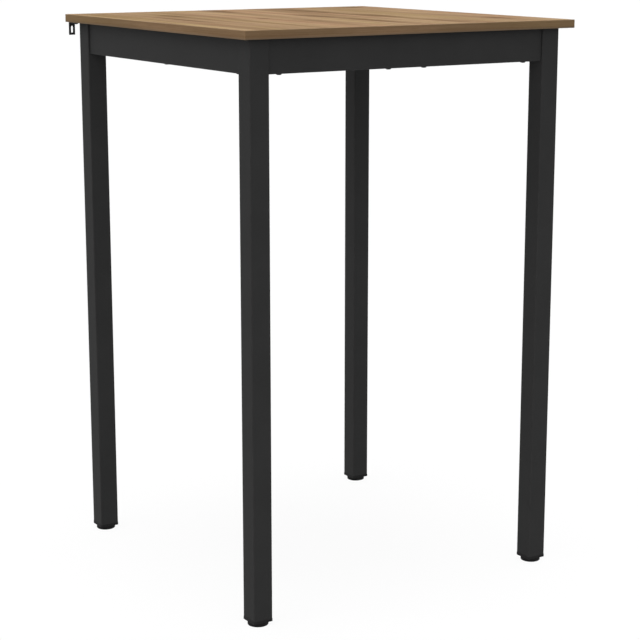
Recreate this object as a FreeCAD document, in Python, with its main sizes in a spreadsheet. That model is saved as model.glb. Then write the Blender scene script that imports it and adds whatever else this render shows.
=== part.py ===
# Bar table: a square laminated top on a bolted frame of square legs and rectangular aprons,
# standing on four levelling feet, with two wall tabs under its back edge.
# Millimetres. +X runs right along the front, +Y to the back and +Z up.
# The origin is on the floor under the middle of the table.
import FreeCAD, Part
import math
import os
import Sketcher

# Driving dimensions: name, value and what it is
SIZES = (
    ("top_side", 700, "side of the square top"),
    ("table_height", 1050, "floor to the face of the top"),
    ("top_thick", 15, "thickness of the top with both laminates"),
    ("laminate_thick", 0.8, "decor sheet above and backing sheet below the core"),
    ("band_thick", 1.0, "edge band round the core"),
    ("band_round", 0.4, "rounding of the band's outer long edges"),
    ("overhang", 20, "edge of the top to the outer faces of the legs"),
    ("leg_side", 38, "side of a square leg tube"),
    ("leg_wall", 1.5, "wall of a leg tube"),
    ("leg_round", 1.8, "outer corner radius of a leg tube"),
    ("apron_high", 60, "height of an apron tube"),
    ("apron_wide", 30, "width of an apron tube"),
    ("apron_wall", 1.5, "wall of an apron tube"),
    ("apron_round", 1.8, "outer corner radius of an apron tube"),
    ("spigot_long", 45, "length of a spigot welded to a leg"),
    ("spigot_wall", 3, "wall of a spigot, tapped for its corner bolt"),
    ("spigot_slip", 0.3, "clearance of a spigot in its apron on each side"),
    ("screw_wide", 5, "shank diameter of a corner bolt or top screw"),
    ("thread_slip", 0.05, "radial clearance of a thread in the piece that it is screwed into"),
    ("hole_slip", 0.3, "radial clearance of a screw in a plain hole"),
    ("head_wide", 9.5, "diameter of the head of a corner bolt or top screw"),
    ("head_high", 2.75, "height of that head"),
    ("socket_across", 3, "across flats of a head's hexagon socket"),
    ("socket_deep", 1.6, "depth of a head's hexagon socket"),
    ("bolt_back", 30, "leg face to the bolt through apron and spigot"),
    ("bolt_long", 10, "length of a corner bolt under its head"),
    ("top_screw_half", 38, "middle of the front or back apron to a top screw"),
    ("top_screw_grip", 10, "length of a top screw inside the top"),
    ("cap_high", 12, "height of the cap in the top end of a leg"),
    ("cap_wall", 2, "wall of a leg cap"),
    ("plug_slip", 0.2, "clearance of caps and end plugs in the leg on each side"),
    ("plug_proud", 0.5, "how far the lip of an end plug stands out of the leg"),
    ("plug_lip", 5, "height of the lip of an end plug"),
    ("plug_long", 18, "length of an end plug inside the leg"),
    ("plug_wall", 2, "wall of an end plug"),
    ("plug_web", 2.4, "thickness of the webs across an end plug"),
    ("boss_side", 20, "side of the square boss that holds the foot nut"),
    ("foot_nut_across", 13, "across flats of a foot nut"),
    ("foot_nut_high", 6.5, "height of a foot nut"),
    ("nut_slip", 0.1, "clearance of a foot nut in its pocket on each side"),
    ("stem_wide", 8, "thread diameter of a foot stem"),
    ("stem_hole_slip", 0.5, "radial clearance of a stem in the end plug"),
    ("stem_spare", 1.5, "stem left above its nut when the foot is right out"),
    ("foot_travel", 10, "how far a foot screws out"),
    ("pad_wide", 37.6, "diameter of a foot pad"),
    ("pad_high", 7, "height of a foot pad"),
    ("pad_bevel", 0.8, "bevel round the lower rim of a foot pad"),
    ("pad_gap", 0.3, "foot pad to end plug when the foot is screwed right in"),
    ("button_wide", 13, "diameter of the button that the pad is snapped onto"),
    ("button_high", 3, "height of the button"),
    ("button_slip", 0.1, "clearance of the button and stem in the pad"),
    ("button_lift", 1.5, "floor to the pocket for the button"),
    ("key_eye", 10, "opening under the pad for the key"),
    ("key_across", 5, "across flats of the stem's hexagon socket"),
    ("key_deep", 2, "depth of the stem's hexagon socket"),
    ("tab_in", 12.8, "side edge of the top to the middle of a wall tab"),
    ("tab_wide", 12.4, "width of a wall tab"),
    ("tab_thick", 2, "thickness of a wall tab"),
    ("tab_drop", 25.3, "underside of the top to the lower end of a wall tab"),
    ("tab_foot", 28, "length of the tab's foot under the top"),
    ("bend_inner", 0.8, "inner radius of the tab's bend"),
    ("slot_wide", 4.5, "width of the wall screw's slot"),
    ("slot_long", 13.5, "length of the wall screw's slot"),
    ("slot_drop", 14.6, "underside of the top to the middle of the slot"),
    ("tab_screw_wide", 3.5, "diameter of a tab screw"),
    ("tab_screw_long", 11, "length of a tab screw inside the top"),
    ("tab_head_wide", 7, "diameter of a tab screw's head"),
    ("tab_head_high", 2, "height of a tab screw's head"),
    ("tab_screw_first", 9, "back edge of the top to the first tab screw"),
    ("tab_screw_pitch", 12, "first tab screw to the second"),
    ("hole_spare", 0.5, "depth of a blind hole past the end of its screw"),
    ("overrun", 1, "how far a cut runs past the face that it starts from"),
)

# Places worked out from the driving dimensions
HALF_TOP = "(Sizes.top_side / 2)"
HALF_CORE = "(Sizes.top_side / 2 - Sizes.band_thick)"
LEG_CENTRE = "(Sizes.top_side / 2 - Sizes.overhang - Sizes.leg_side / 2)"
LEG_INNER_FACE = "(" + LEG_CENTRE + " - Sizes.leg_side / 2)"
TOP_UNDERSIDE = "(Sizes.table_height - Sizes.top_thick)"
CORE_UNDERSIDE = "(" + TOP_UNDERSIDE + " + Sizes.laminate_thick)"
CORE_THICK = "(Sizes.top_thick - 2 * Sizes.laminate_thick)"
APRON_UNDERSIDE = "(" + TOP_UNDERSIDE + " - Sizes.apron_high)"
APRON_MIDDLE = "(" + TOP_UNDERSIDE + " - Sizes.apron_high / 2)"
APRON_LONG = "(2 * " + LEG_INNER_FACE + ")"
SPIGOT_WIDE = "(Sizes.apron_wide - 2 * Sizes.apron_wall - 2 * Sizes.spigot_slip)"
SPIGOT_HIGH = "(Sizes.apron_high - 2 * Sizes.apron_wall - 2 * Sizes.spigot_slip)"
BOLT_PLACE = "(" + LEG_INNER_FACE + " - Sizes.bolt_back)"
SCREW_HOLE = "(Sizes.screw_wide / 2 + Sizes.hole_slip)"
TAPPED_HOLE = "(Sizes.screw_wide / 2 + Sizes.thread_slip)"
TUBE_BORE = "(Sizes.leg_side - 2 * Sizes.leg_wall)"
PLUG_SIDE = "(" + TUBE_BORE + " - 2 * Sizes.plug_slip)"
PLUG_HOLLOW = "(" + PLUG_SIDE + " - 2 * Sizes.plug_wall)"
PLUG_UNDERSIDE = "(Sizes.pad_high + Sizes.pad_gap)"
LEG_UNDERSIDE = "(" + PLUG_UNDERSIDE + " + Sizes.plug_lip)"
LEG_LONG = "(" + TOP_UNDERSIDE + " - " + LEG_UNDERSIDE + ")"
FOOT_NUT_TOP = "(" + LEG_UNDERSIDE + " + Sizes.plug_long)"
FOOT_NUT_BOTTOM = "(" + FOOT_NUT_TOP + " - Sizes.foot_nut_high)"
STEM_RADIUS = "(Sizes.stem_wide / 2)"
STEM_TOP = "(" + FOOT_NUT_TOP + " + Sizes.foot_travel + Sizes.stem_spare)"
BUTTON_UNDERSIDE = "(Sizes.button_lift + Sizes.button_slip)"
BUTTON_TOP = "(" + BUTTON_UNDERSIDE + " + Sizes.button_high)"
POCKET_TOP = "(" + BUTTON_TOP + " + Sizes.button_slip)"
TAB_PLACE = "(" + HALF_TOP + " - Sizes.tab_in)"
TAB_SEAT = "(" + TOP_UNDERSIDE + " - Sizes.tab_thick)"
TAB_SCREW_HOLE = "(Sizes.tab_screw_wide / 2 + Sizes.hole_slip)"
TAB_PILOT_HOLE = "(Sizes.tab_screw_wide / 2 + Sizes.thread_slip)"
TAB_SCREW_PLACES = (
    "(" + HALF_TOP + " - Sizes.tab_screw_first)",
    "(" + HALF_TOP + " - Sizes.tab_screw_first - Sizes.tab_screw_pitch)",
)
# The four sides: name, turn about Z from the front, and the names of its two ends along its own X
SIDES = (
    ("front", 0, ("left", "right")),
    ("right", 90, ("front", "back")),
    ("back", 180, ("right", "left")),
    ("left", 270, ("back", "front")),
)
# The four corners: name, and on which side of the middle it lies along X and Y
CORNERS = (
    ("front_left", -1, -1),
    ("front_right", 1, -1),
    ("back_right", 1, 1),
    ("back_left", -1, 1),
)
# Two points nearer than this count as one
NEAR = 1e-4

doc = FreeCAD.newDocument("BarTable")
sheet = doc.addObject("Spreadsheet::Sheet", "Sizes")
parts = []


def fill_sheet():
    """Write each driving dimension and its meaning into the sheet."""
    for row, (alias, number, meaning) in enumerate(SIZES, start=1):
        sheet.set("A" + str(row), meaning)
        sheet.set("B" + str(row), str(number))
        sheet.setAlias("B" + str(row), alias)
    doc.recompute()


def value(expression):
    """The number that an expression on the sheet stands for."""
    return float(sheet.evalExpression(expression))


def flip(expression, side=-1):
    """The opposite of an expression, or the expression itself on the positive side."""
    if side > 0:
        return expression
    return "(-" + expression + ")"


def on_side(turn, along, out):
    """Places along X and Y of a point on a side, from its run along the side and its distance out."""
    return {
        0: (along, flip(out)),
        90: (out, along),
        180: (flip(along), out),
        270: (flip(out), flip(along)),
    }[turn]


def top_screw_places(side):
    """Places of the top screws along an apron: two at the front and back, one at each side."""
    if side in ("front", "back"):
        return (flip("Sizes.top_screw_half"), "Sizes.top_screw_half")
    return ("0",)


def new_body(name, x="0", y="0", z="0", turn=0):
    """A body at the given places, turned about Z by some degrees."""
    body = doc.addObject("PartDesign::Body", name)
    body.Label = name
    body.Placement = FreeCAD.Placement(
        FreeCAD.Vector(), FreeCAD.Rotation(FreeCAD.Vector(0, 0, 1), turn))
    for axis, place in (("x", x), ("y", y), ("z", z)):
        body.setExpression(".Placement.Base." + axis, place)
    parts.append(body)
    return body


def origin_part(body, role):
    """One of the body's own origin planes or axes."""
    return [part for part in body.Origin.OriginFeatures if part.Role == role][0]


def new_sketch(body, name, plane="XY_Plane", across="0", up="0", lift="0"):
    """An empty sketch on an origin plane of the body, moved within the plane and lifted off it."""
    sketch = body.newObject("Sketcher::SketchObject", body.Name + "_" + name)
    sketch.AttachmentSupport = [(origin_part(body, plane), "")]
    sketch.MapMode = "FlatFace"
    for axis, place in (("x", across), ("y", up), ("z", lift)):
        sketch.setExpression(".AttachmentOffset.Base." + axis, place)
    return sketch


def tie(sketch, constraint, name, expression):
    """Add a constraint under a name and set it by an expression."""
    index = sketch.addConstraint(constraint)
    sketch.renameConstraint(index, name)
    sketch.setExpression("Constraints." + name, expression)


def hold(sketch, geometry, point, across, up):
    """Tie a point of some geometry to its place from the sketch's origin."""
    for letter, line, place in (("X", -2, across), ("Y", -1, up)):
        distance = value(place)
        if distance == 0:
            sketch.addConstraint(Sketcher.Constraint("PointOnObject", geometry, point, line))
            continue
        ends = (-1, 1, geometry, point) if distance > 0 else (geometry, point, -1, 1)
        constraint = Sketcher.Constraint("Distance" + letter, *ends, abs(distance))
        name = "place_" + letter.lower() + str(geometry) + "_" + str(point)
        tie(sketch, constraint, name, place if distance > 0 else flip(place))


def draw_outline(sketch, points):
    """A closed outline of straight lines through points given as pairs of expressions."""
    places = [FreeCAD.Vector(value(across), value(up), 0) for across, up in points]
    edges = []
    for start, end in zip(places, places[1:] + places[:1]):
        edges.append(sketch.addGeometry(Part.LineSegment(start, end)))
    for edge, following in zip(edges, edges[1:] + edges[:1]):
        sketch.addConstraint(Sketcher.Constraint("Coincident", edge, 2, following, 1))
    for edge, (across, up) in zip(edges, points):
        hold(sketch, edge, 1, across, up)


def draw_rectangle(sketch, wide, high):
    """A rectangle centred on the sketch's origin."""
    right = "(" + wide + " / 2)"
    top = "(" + high + " / 2)"
    draw_outline(sketch, ((flip(right), flip(top)), (right, flip(top)), (right, top), (flip(right), top)))


def draw_circle(sketch, radius, across="0", up="0"):
    """A circle with its centre and radius tied to expressions."""
    centre = FreeCAD.Vector(value(across), value(up), 0)
    circle = sketch.addGeometry(Part.Circle(centre, FreeCAD.Vector(0, 0, 1), value(radius)))
    hold(sketch, circle, 3, across, up)
    tie(sketch, Sketcher.Constraint("Radius", circle, value(radius)), "radius_" + str(circle), radius)


def draw_hexagon(sketch, across_flats):
    """A hexagon centred on the sketch's origin, with corners on its X axis."""
    flat = "(" + across_flats + " / 2)"
    corner = "(" + across_flats + " / sqrt(3))"
    shoulder = "(" + corner + " / 2)"
    draw_outline(sketch, (
        (corner, "0"), (shoulder, flat), (flip(shoulder), flat),
        (flip(corner), "0"), (flip(shoulder), flip(flat)), (shoulder, flip(flat))))


def draw_slot(sketch, wide, high):
    """An upright slot with round ends, centred on the sketch's origin."""
    radius = "(" + wide + " / 2)"
    reach = "((" + high + " - " + wide + ") / 2)"
    normal = FreeCAD.Vector(0, 0, 1)
    across = FreeCAD.Vector(value(radius), 0, 0)
    top = FreeCAD.Vector(0, value(reach), 0)
    bottom = -top
    upper_end = Part.Circle(top, normal, value(radius))
    lower_end = Part.Circle(bottom, normal, value(radius))
    edges = [
        sketch.addGeometry(Part.LineSegment(bottom + across, top + across)),
        sketch.addGeometry(Part.ArcOfCircle(upper_end, 0, math.pi)),
        sketch.addGeometry(Part.LineSegment(top - across, bottom - across)),
        sketch.addGeometry(Part.ArcOfCircle(lower_end, math.pi, 2 * math.pi)),
    ]
    for edge, following in zip(edges, edges[1:] + edges[:1]):
        sketch.addConstraint(Sketcher.Constraint("Tangent", edge, 2, following, 1))
    hold(sketch, edges[1], 3, "0", reach)
    hold(sketch, edges[3], 3, "0", flip(reach))
    tie(sketch, Sketcher.Constraint("Radius", edges[1], value(radius)), "end_radius", radius)


def draw_screw(sketch, head_wide, head_high, shank_wide, long):
    """Half the outline of a screw with its head down and its seat on the sketch's X axis."""
    rim = "(" + head_wide + " / 2)"
    shank = "(" + shank_wide + " / 2)"
    draw_outline(sketch, (
        ("0", flip(head_high)), (rim, flip(head_high)), (rim, "0"),
        (shank, "0"), (shank, long), ("0", long)))


def add_pad(body, sketch, length, both_ways=False):
    """Pad a sketch along its normal, or evenly to both sides of its plane."""
    pad = body.newObject("PartDesign::Pad", sketch.Name + "_pad")
    pad.Profile = sketch
    if both_ways:
        pad.SideType = "Symmetric"
    pad.setExpression("Length", length)
    return pad


def add_pocket(body, sketch, length, along_normal):
    """Cut a sketch into the body along its normal or against it, and make sure that it cuts."""
    doc.recompute()
    before = body.Shape.Volume
    pocket = body.newObject("PartDesign::Pocket", sketch.Name + "_pocket")
    pocket.Profile = sketch
    pocket.Reversed = along_normal
    pocket.setExpression("Length", length)
    doc.recompute()
    if not 0 < body.Shape.Volume < before:
        raise RuntimeError(pocket.Name + " cuts nothing")
    return pocket


def add_turning(body, sketch):
    """Turn a sketch once round its upright axis."""
    turning = body.newObject("PartDesign::Revolution", sketch.Name + "_turning")
    turning.Profile = sketch
    turning.ReferenceAxis = (sketch, ["V_Axis"])
    turning.Angle = 360
    return turning


def box_sides(shape):
    """The lowest and highest corners of a shape's box."""
    box = shape.BoundBox
    return (box.XMin, box.YMin, box.ZMin), (box.XMax, box.YMax, box.ZMax)


def is_straight_along(edge, axis):
    """True for a straight edge along one axis: 0, 1 or 2."""
    run = edge.Vertexes[-1].Point - edge.Vertexes[0].Point
    return isinstance(edge.Curve, Part.Line) and run.Length - abs(run[axis]) < NEAR


def edges_at(shape, axis, places):
    """Names of the straight edges along an axis that lie at given places on the other axes."""
    names = []
    for number, edge in enumerate(shape.Edges, start=1):
        middle = edge.CenterOfMass
        there = all(abs(middle[other] - place) < NEAR for other, place in places.items())
        if there and is_straight_along(edge, axis):
            names.append("Edge" + str(number))
    return names


def corner_edges(shape, axis):
    """Names of the edges along an axis that lie on the corners of the shape's box."""
    low, high = box_sides(shape)
    first, second = [other for other in (0, 1, 2) if other != axis]
    names = []
    for one in (low[first], high[first]):
        for two in (low[second], high[second]):
            names += edges_at(shape, axis, {first: one, second: two})
    return names


def add_rounding(body, feature, names, radius):
    """Round named edges of a feature."""
    rounding = body.newObject("PartDesign::Fillet", feature.Name + "_rounding")
    rounding.Base = (feature, names)
    rounding.setExpression("Radius", radius)
    doc.recompute()
    return rounding


def add_pattern(body, originals, mirrors, quarter_turns=False):
    """Mirror features in some of the body's planes, and repeat them at every quarter turn."""
    pattern = body.newObject("PartDesign::MultiTransform", originals[0].Name + "_pattern")
    pattern.Originals = originals
    steps = []
    for plane in mirrors:
        mirror = body.newObject("PartDesign::Mirrored", pattern.Name + "_" + plane)
        mirror.MirrorPlane = (origin_part(body, plane), [""])
        steps.append(mirror)
    if quarter_turns:
        turns = body.newObject("PartDesign::PolarPattern", pattern.Name + "_turns")
        turns.Axis = (origin_part(body, "Z_Axis"), [""])
        turns.Angle = 360
        turns.Occurrences = len(SIDES)
        steps.append(turns)
    pattern.Transformations = steps
    body.Tip = pattern
    return pattern


def make_core():
    """The core of the top, drilled from below for the top screws and the tab screws."""
    core = new_body("tabletop_core", z=CORE_UNDERSIDE)
    outline = new_sketch(core, "outline")
    draw_rectangle(outline, "(2 * " + HALF_CORE + ")", "(2 * " + HALF_CORE + ")")
    add_pad(core, outline, CORE_THICK)
    drill_top(core, "(Sizes.top_screw_grip - Sizes.laminate_thick + Sizes.hole_spare)",
              "(Sizes.tab_screw_long - Sizes.laminate_thick + Sizes.hole_spare)")


def drill_top(body, top_screw_depth, tab_screw_depth):
    """Drill a sheet of the top upwards for the six top screws and the four tab screws."""
    top_holes = new_sketch(body, "top_screw_holes")
    for side, turn, end_names in SIDES:
        for along in top_screw_places(side):
            draw_circle(top_holes, TAPPED_HOLE, *on_side(turn, along, LEG_CENTRE))
    add_pocket(body, top_holes, top_screw_depth, along_normal=True)
    tab_holes = new_sketch(body, "tab_screw_holes")
    for side in (-1, 1):
        for place in TAB_SCREW_PLACES:
            draw_circle(tab_holes, TAB_PILOT_HOLE, flip(TAB_PLACE, side), place)
    add_pocket(body, tab_holes, tab_screw_depth, along_normal=True)


def make_laminates():
    """The decor sheet on the core and the backing sheet under it."""
    decor_underside = CORE_UNDERSIDE + " + " + CORE_THICK
    for name, height in (("decor_sheet", decor_underside), ("backing_sheet", TOP_UNDERSIDE)):
        laminate = new_body(name, z=height)
        outline = new_sketch(laminate, "outline")
        draw_rectangle(outline, "(2 * " + HALF_CORE + ")", "(2 * " + HALF_CORE + ")")
        add_pad(laminate, outline, "Sizes.laminate_thick")
        if name == "backing_sheet":
            depth = "(Sizes.laminate_thick + Sizes.overrun)"
            drill_top(laminate, depth, depth)


def make_bands():
    """Four edge bands: those at the sides run the whole depth, the others lie between them."""
    for side, turn, end_names in SIDES:
        long = "(2 * " + (HALF_CORE if turn % 180 == 0 else HALF_TOP) + ")"
        x, y = on_side(turn, "0", "(" + HALF_TOP + " - Sizes.band_thick / 2)")
        band = new_body("edge_band_" + side, x, y, TOP_UNDERSIDE, turn)
        outline = new_sketch(band, "outline")
        draw_rectangle(outline, long, "Sizes.band_thick")
        pad = add_pad(band, outline, "Sizes.top_thick")
        doc.recompute()
        low, high = box_sides(pad.Shape)
        outer = []
        for height in (low[2], high[2]):
            outer += edges_at(pad.Shape, 0, {1: low[1], 2: height})
        add_rounding(band, pad, outer, "Sizes.band_round")


def make_tube(body, plane, section, bore, long):
    """A tube of rectangular section: upright, or evenly to both sides of the YZ plane."""
    profile = new_sketch(body, "section", plane)
    draw_rectangle(profile, *section)
    draw_rectangle(profile, *bore)
    return add_pad(body, profile, long, both_ways=plane == "YZ_Plane")


def round_corners(body, tube, axis, radius):
    """Round the outer corners of a tube or block that runs along an axis."""
    doc.recompute()
    return add_rounding(body, tube, corner_edges(tube.Shape, axis), radius)


def make_legs():
    """Four square leg tubes from the end plugs to the underside of the top."""
    for corner, side_x, side_y in CORNERS:
        leg = new_body("leg_" + corner, flip(LEG_CENTRE, side_x), flip(LEG_CENTRE, side_y), LEG_UNDERSIDE)
        square = ("Sizes.leg_side", "Sizes.leg_side")
        tube = make_tube(leg, "XY_Plane", square, (TUBE_BORE, TUBE_BORE), LEG_LONG)
        round_corners(leg, tube, 2, "Sizes.leg_round")


def make_caps():
    """Four caps in the upper ends of the legs, open downwards."""
    for corner, side_x, side_y in CORNERS:
        cap = new_body("leg_cap_" + corner, flip(LEG_CENTRE, side_x), flip(LEG_CENTRE, side_y),
                       TOP_UNDERSIDE + " - Sizes.cap_high")
        outline = new_sketch(cap, "outline")
        draw_rectangle(outline, PLUG_SIDE, PLUG_SIDE)
        add_pad(cap, outline, "Sizes.cap_high")
        hollow = new_sketch(cap, "hollow")
        bore = "(" + PLUG_SIDE + " - 2 * Sizes.cap_wall)"
        draw_rectangle(hollow, bore, bore)
        add_pocket(cap, hollow, "(Sizes.cap_high - Sizes.cap_wall)", along_normal=True)


def make_aprons():
    """Four apron tubes between the legs, drilled for the corner bolts and the top screws."""
    for side, turn, end_names in SIDES:
        x, y = on_side(turn, "0", LEG_CENTRE)
        apron = new_body("apron_" + side, x, y, APRON_MIDDLE, turn)
        bore = ("(Sizes.apron_wide - 2 * Sizes.apron_wall)", "(Sizes.apron_high - 2 * Sizes.apron_wall)")
        tube = make_tube(apron, "YZ_Plane", ("Sizes.apron_wide", "Sizes.apron_high"), bore, APRON_LONG)
        round_corners(apron, tube, 0, "Sizes.apron_round")
        bolt_holes = new_sketch(apron, "bolt_holes", lift="-Sizes.apron_high / 2")
        for end in (-1, 1):
            draw_circle(bolt_holes, SCREW_HOLE, flip(BOLT_PLACE, end))
        add_pocket(apron, bolt_holes, "(Sizes.apron_wall + Sizes.overrun)", along_normal=True)
        screw_holes = new_sketch(apron, "screw_holes", lift="-Sizes.apron_high / 2")
        for along in top_screw_places(side):
            draw_circle(screw_holes, SCREW_HOLE, along)
        add_pocket(apron, screw_holes, "(Sizes.apron_high + Sizes.overrun)", along_normal=True)


def make_spigots():
    """Eight spigots, welded to the legs, that the ends of the aprons slide onto."""
    for side, turn, end_names in SIDES:
        for end, end_name in zip((-1, 1), end_names):
            middle = "(" + LEG_INNER_FACE + " - Sizes.spigot_long / 2)"
            x, y = on_side(turn, flip(middle, end), LEG_CENTRE)
            spigot = new_body("spigot_" + side + "_" + end_name, x, y, APRON_MIDDLE, turn)
            bore = ("(" + SPIGOT_WIDE + " - 2 * Sizes.spigot_wall)",
                    "(" + SPIGOT_HIGH + " - 2 * Sizes.spigot_wall)")
            make_tube(spigot, "YZ_Plane", (SPIGOT_WIDE, SPIGOT_HIGH), bore, "Sizes.spigot_long")
            hole = new_sketch(spigot, "bolt_hole", lift="-" + SPIGOT_HIGH + " / 2")
            draw_circle(hole, TAPPED_HOLE, flip("(Sizes.spigot_long / 2 - Sizes.bolt_back)", end))
            add_pocket(spigot, hole, "(Sizes.spigot_wall + Sizes.overrun)", along_normal=True)


def make_screw(body, name, across, out, long):
    """A screw with a hexagon socket, its head seated under the aprons, on the front side of its body."""
    profile = new_sketch(body, name, "XZ_Plane", across, APRON_UNDERSIDE, out)
    draw_screw(profile, "Sizes.head_wide", "Sizes.head_high", "Sizes.screw_wide", long)
    turning = add_turning(body, profile)
    socket = new_sketch(body, name + "_socket", across=across, up=flip(out),
                        lift=APRON_UNDERSIDE + " - Sizes.head_high")
    draw_hexagon(socket, "Sizes.socket_across")
    return [turning, add_pocket(body, socket, "Sizes.socket_deep", along_normal=True)]


def make_fasteners():
    """The corner bolts up into the spigots, and the top screws up through the aprons into the top."""
    bolts = new_body("corner_bolts")
    bolt = make_screw(bolts, "bolt", BOLT_PLACE, LEG_CENTRE, "Sizes.bolt_long")
    add_pattern(bolts, bolt, ["YZ_Plane"], quarter_turns=True)
    screws = new_body("top_screws")
    through = "(Sizes.apron_high + Sizes.top_screw_grip)"
    front = make_screw(screws, "front", "Sizes.top_screw_half", LEG_CENTRE, through)
    add_pattern(screws, front, ["YZ_Plane", "XZ_Plane"])
    side = make_screw(screws, "side", LEG_CENTRE, "0", through)
    add_pattern(screws, side, ["YZ_Plane"])


def make_end_plugs():
    """Four end plugs with a proud lip, and a webbed boss that holds the foot nut."""
    for corner, side_x, side_y in CORNERS:
        plug = new_body("end_plug_" + corner, flip(LEG_CENTRE, side_x), flip(LEG_CENTRE, side_y),
                        PLUG_UNDERSIDE)
        lip = new_sketch(plug, "lip")
        lip_side = "(Sizes.leg_side + 2 * Sizes.plug_proud)"
        draw_rectangle(lip, lip_side, lip_side)
        lip_pad = add_pad(plug, lip, "Sizes.plug_lip")
        round_corners(plug, lip_pad, 2, "(Sizes.leg_round + Sizes.plug_proud)")
        top = "(Sizes.plug_lip + Sizes.plug_long)"
        insert = new_sketch(plug, "insert", lift="Sizes.plug_lip")
        draw_rectangle(insert, PLUG_SIDE, PLUG_SIDE)
        add_pad(plug, insert, "Sizes.plug_long")
        hollow = new_sketch(plug, "hollow", lift=top)
        draw_rectangle(hollow, PLUG_HOLLOW, PLUG_HOLLOW)
        add_pocket(plug, hollow, "Sizes.plug_long", along_normal=False)
        for name, wide, high in (("web_across", PLUG_HOLLOW, "Sizes.plug_web"),
                                 ("web_along", "Sizes.plug_web", PLUG_HOLLOW),
                                 ("boss", "Sizes.boss_side", "Sizes.boss_side")):
            stiffener = new_sketch(plug, name, lift="Sizes.plug_lip")
            draw_rectangle(stiffener, wide, high)
            add_pad(plug, stiffener, "Sizes.plug_long")
        bore = new_sketch(plug, "bore")
        draw_circle(bore, "(" + STEM_RADIUS + " + Sizes.stem_hole_slip)")
        add_pocket(plug, bore, top, along_normal=True)
        seat = new_sketch(plug, "nut_seat", lift=top)
        draw_hexagon(seat, "(Sizes.foot_nut_across + 2 * Sizes.nut_slip)")
        add_pocket(plug, seat, "Sizes.foot_nut_high", along_normal=False)


def make_feet():
    """Four levelling feet: a nut in the end plug, a stem screwed into it and a pad snapped onto the stem."""
    for corner, side_x, side_y in CORNERS:
        x = flip(LEG_CENTRE, side_x)
        y = flip(LEG_CENTRE, side_y)
        nut = new_body("foot_nut_" + corner, x, y, FOOT_NUT_BOTTOM)
        section = new_sketch(nut, "section")
        draw_hexagon(section, "Sizes.foot_nut_across")
        draw_circle(section, "(" + STEM_RADIUS + " + Sizes.thread_slip)")
        add_pad(nut, section, "Sizes.foot_nut_high")
        stem = new_body("foot_stem_" + corner, x, y)
        profile = new_sketch(stem, "profile", "XZ_Plane")
        draw_outline(profile, (
            ("0", BUTTON_UNDERSIDE),
            ("(Sizes.button_wide / 2)", BUTTON_UNDERSIDE),
            ("(Sizes.button_wide / 2)", BUTTON_TOP),
            (STEM_RADIUS, BUTTON_TOP),
            (STEM_RADIUS, STEM_TOP),
            ("0", STEM_TOP)))
        add_turning(stem, profile)
        socket = new_sketch(stem, "socket", lift=BUTTON_UNDERSIDE)
        draw_hexagon(socket, "Sizes.key_across")
        add_pocket(stem, socket, "Sizes.key_deep", along_normal=True)
        pad = new_body("foot_pad_" + corner, x, y)
        profile = new_sketch(pad, "profile", "XZ_Plane")
        draw_outline(profile, (
            ("(Sizes.key_eye / 2)", "0"),
            ("(Sizes.pad_wide / 2 - Sizes.pad_bevel)", "0"),
            ("(Sizes.pad_wide / 2)", "Sizes.pad_bevel"),
            ("(Sizes.pad_wide / 2)", "Sizes.pad_high"),
            ("(" + STEM_RADIUS + " + Sizes.button_slip)", "Sizes.pad_high"),
            ("(" + STEM_RADIUS + " + Sizes.button_slip)", POCKET_TOP),
            ("(Sizes.button_wide / 2 + Sizes.button_slip)", POCKET_TOP),
            ("(Sizes.button_wide / 2 + Sizes.button_slip)", "Sizes.button_lift"),
            ("(Sizes.key_eye / 2)", "Sizes.button_lift")))
        add_turning(pad, profile)


def make_tabs():
    """Two bent wall tabs under the back edge of the top, each slotted for a wall screw, and their screws."""
    for side, side_x in (("left", -1), ("right", 1)):
        tab = new_body("wall_tab_" + side, flip(TAB_PLACE, side_x), HALF_TOP, TOP_UNDERSIDE)
        profile = new_sketch(tab, "profile", "YZ_Plane")
        thick = flip("Sizes.tab_thick")
        draw_outline(profile, (
            ("0", "0"), ("0", flip("Sizes.tab_drop")), (thick, flip("Sizes.tab_drop")), (thick, thick),
            (flip("Sizes.tab_foot"), thick), (flip("Sizes.tab_foot"), "0")))
        plate = add_pad(tab, profile, "Sizes.tab_wide", both_ways=True)
        doc.recompute()
        plate = add_rounding(tab, plate, edges_at(plate.Shape, 0, {1: 0, 2: 0}),
                             "(Sizes.bend_inner + Sizes.tab_thick)")
        inner = value(thick)
        add_rounding(tab, plate, edges_at(plate.Shape, 0, {1: inner, 2: inner}), "Sizes.bend_inner")
        slot = new_sketch(tab, "slot", "XZ_Plane", up=flip("Sizes.slot_drop"))
        draw_slot(slot, "Sizes.slot_wide", "Sizes.slot_long")
        add_pocket(tab, slot, "(Sizes.tab_thick + Sizes.overrun)", along_normal=True)
        holes = new_sketch(tab, "screw_holes")
        for place in TAB_SCREW_PLACES:
            draw_circle(holes, TAB_SCREW_HOLE, "0", "(" + place + " - " + HALF_TOP + ")")
        add_pocket(tab, holes, "(Sizes.tab_thick + Sizes.overrun)", along_normal=False)
    screws = new_body("tab_screws")
    turnings = []
    for number, place in enumerate(TAB_SCREW_PLACES):
        profile = new_sketch(screws, "profile_" + str(number), "XZ_Plane", TAB_PLACE, TAB_SEAT, flip(place))
        draw_screw(profile, "Sizes.tab_head_wide", "Sizes.tab_head_high", "Sizes.tab_screw_wide",
                   "(Sizes.tab_thick + Sizes.tab_screw_long)")
        turnings.append(add_turning(screws, profile))
    add_pattern(screws, turnings, ["YZ_Plane"])


def check_model():
    """Stop if any object failed or any sub-part has no sound shape."""
    doc.recompute()
    for item in doc.Objects:
        if "Invalid" in item.State or "Error" in item.State:
            raise RuntimeError(item.Name + " failed: " + str(item.State))
    for part in parts:
        if part.Shape.isNull() or not part.Shape.isValid() or not part.Shape.Solids:
            raise RuntimeError(part.Label + " has no sound shape")


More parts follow.
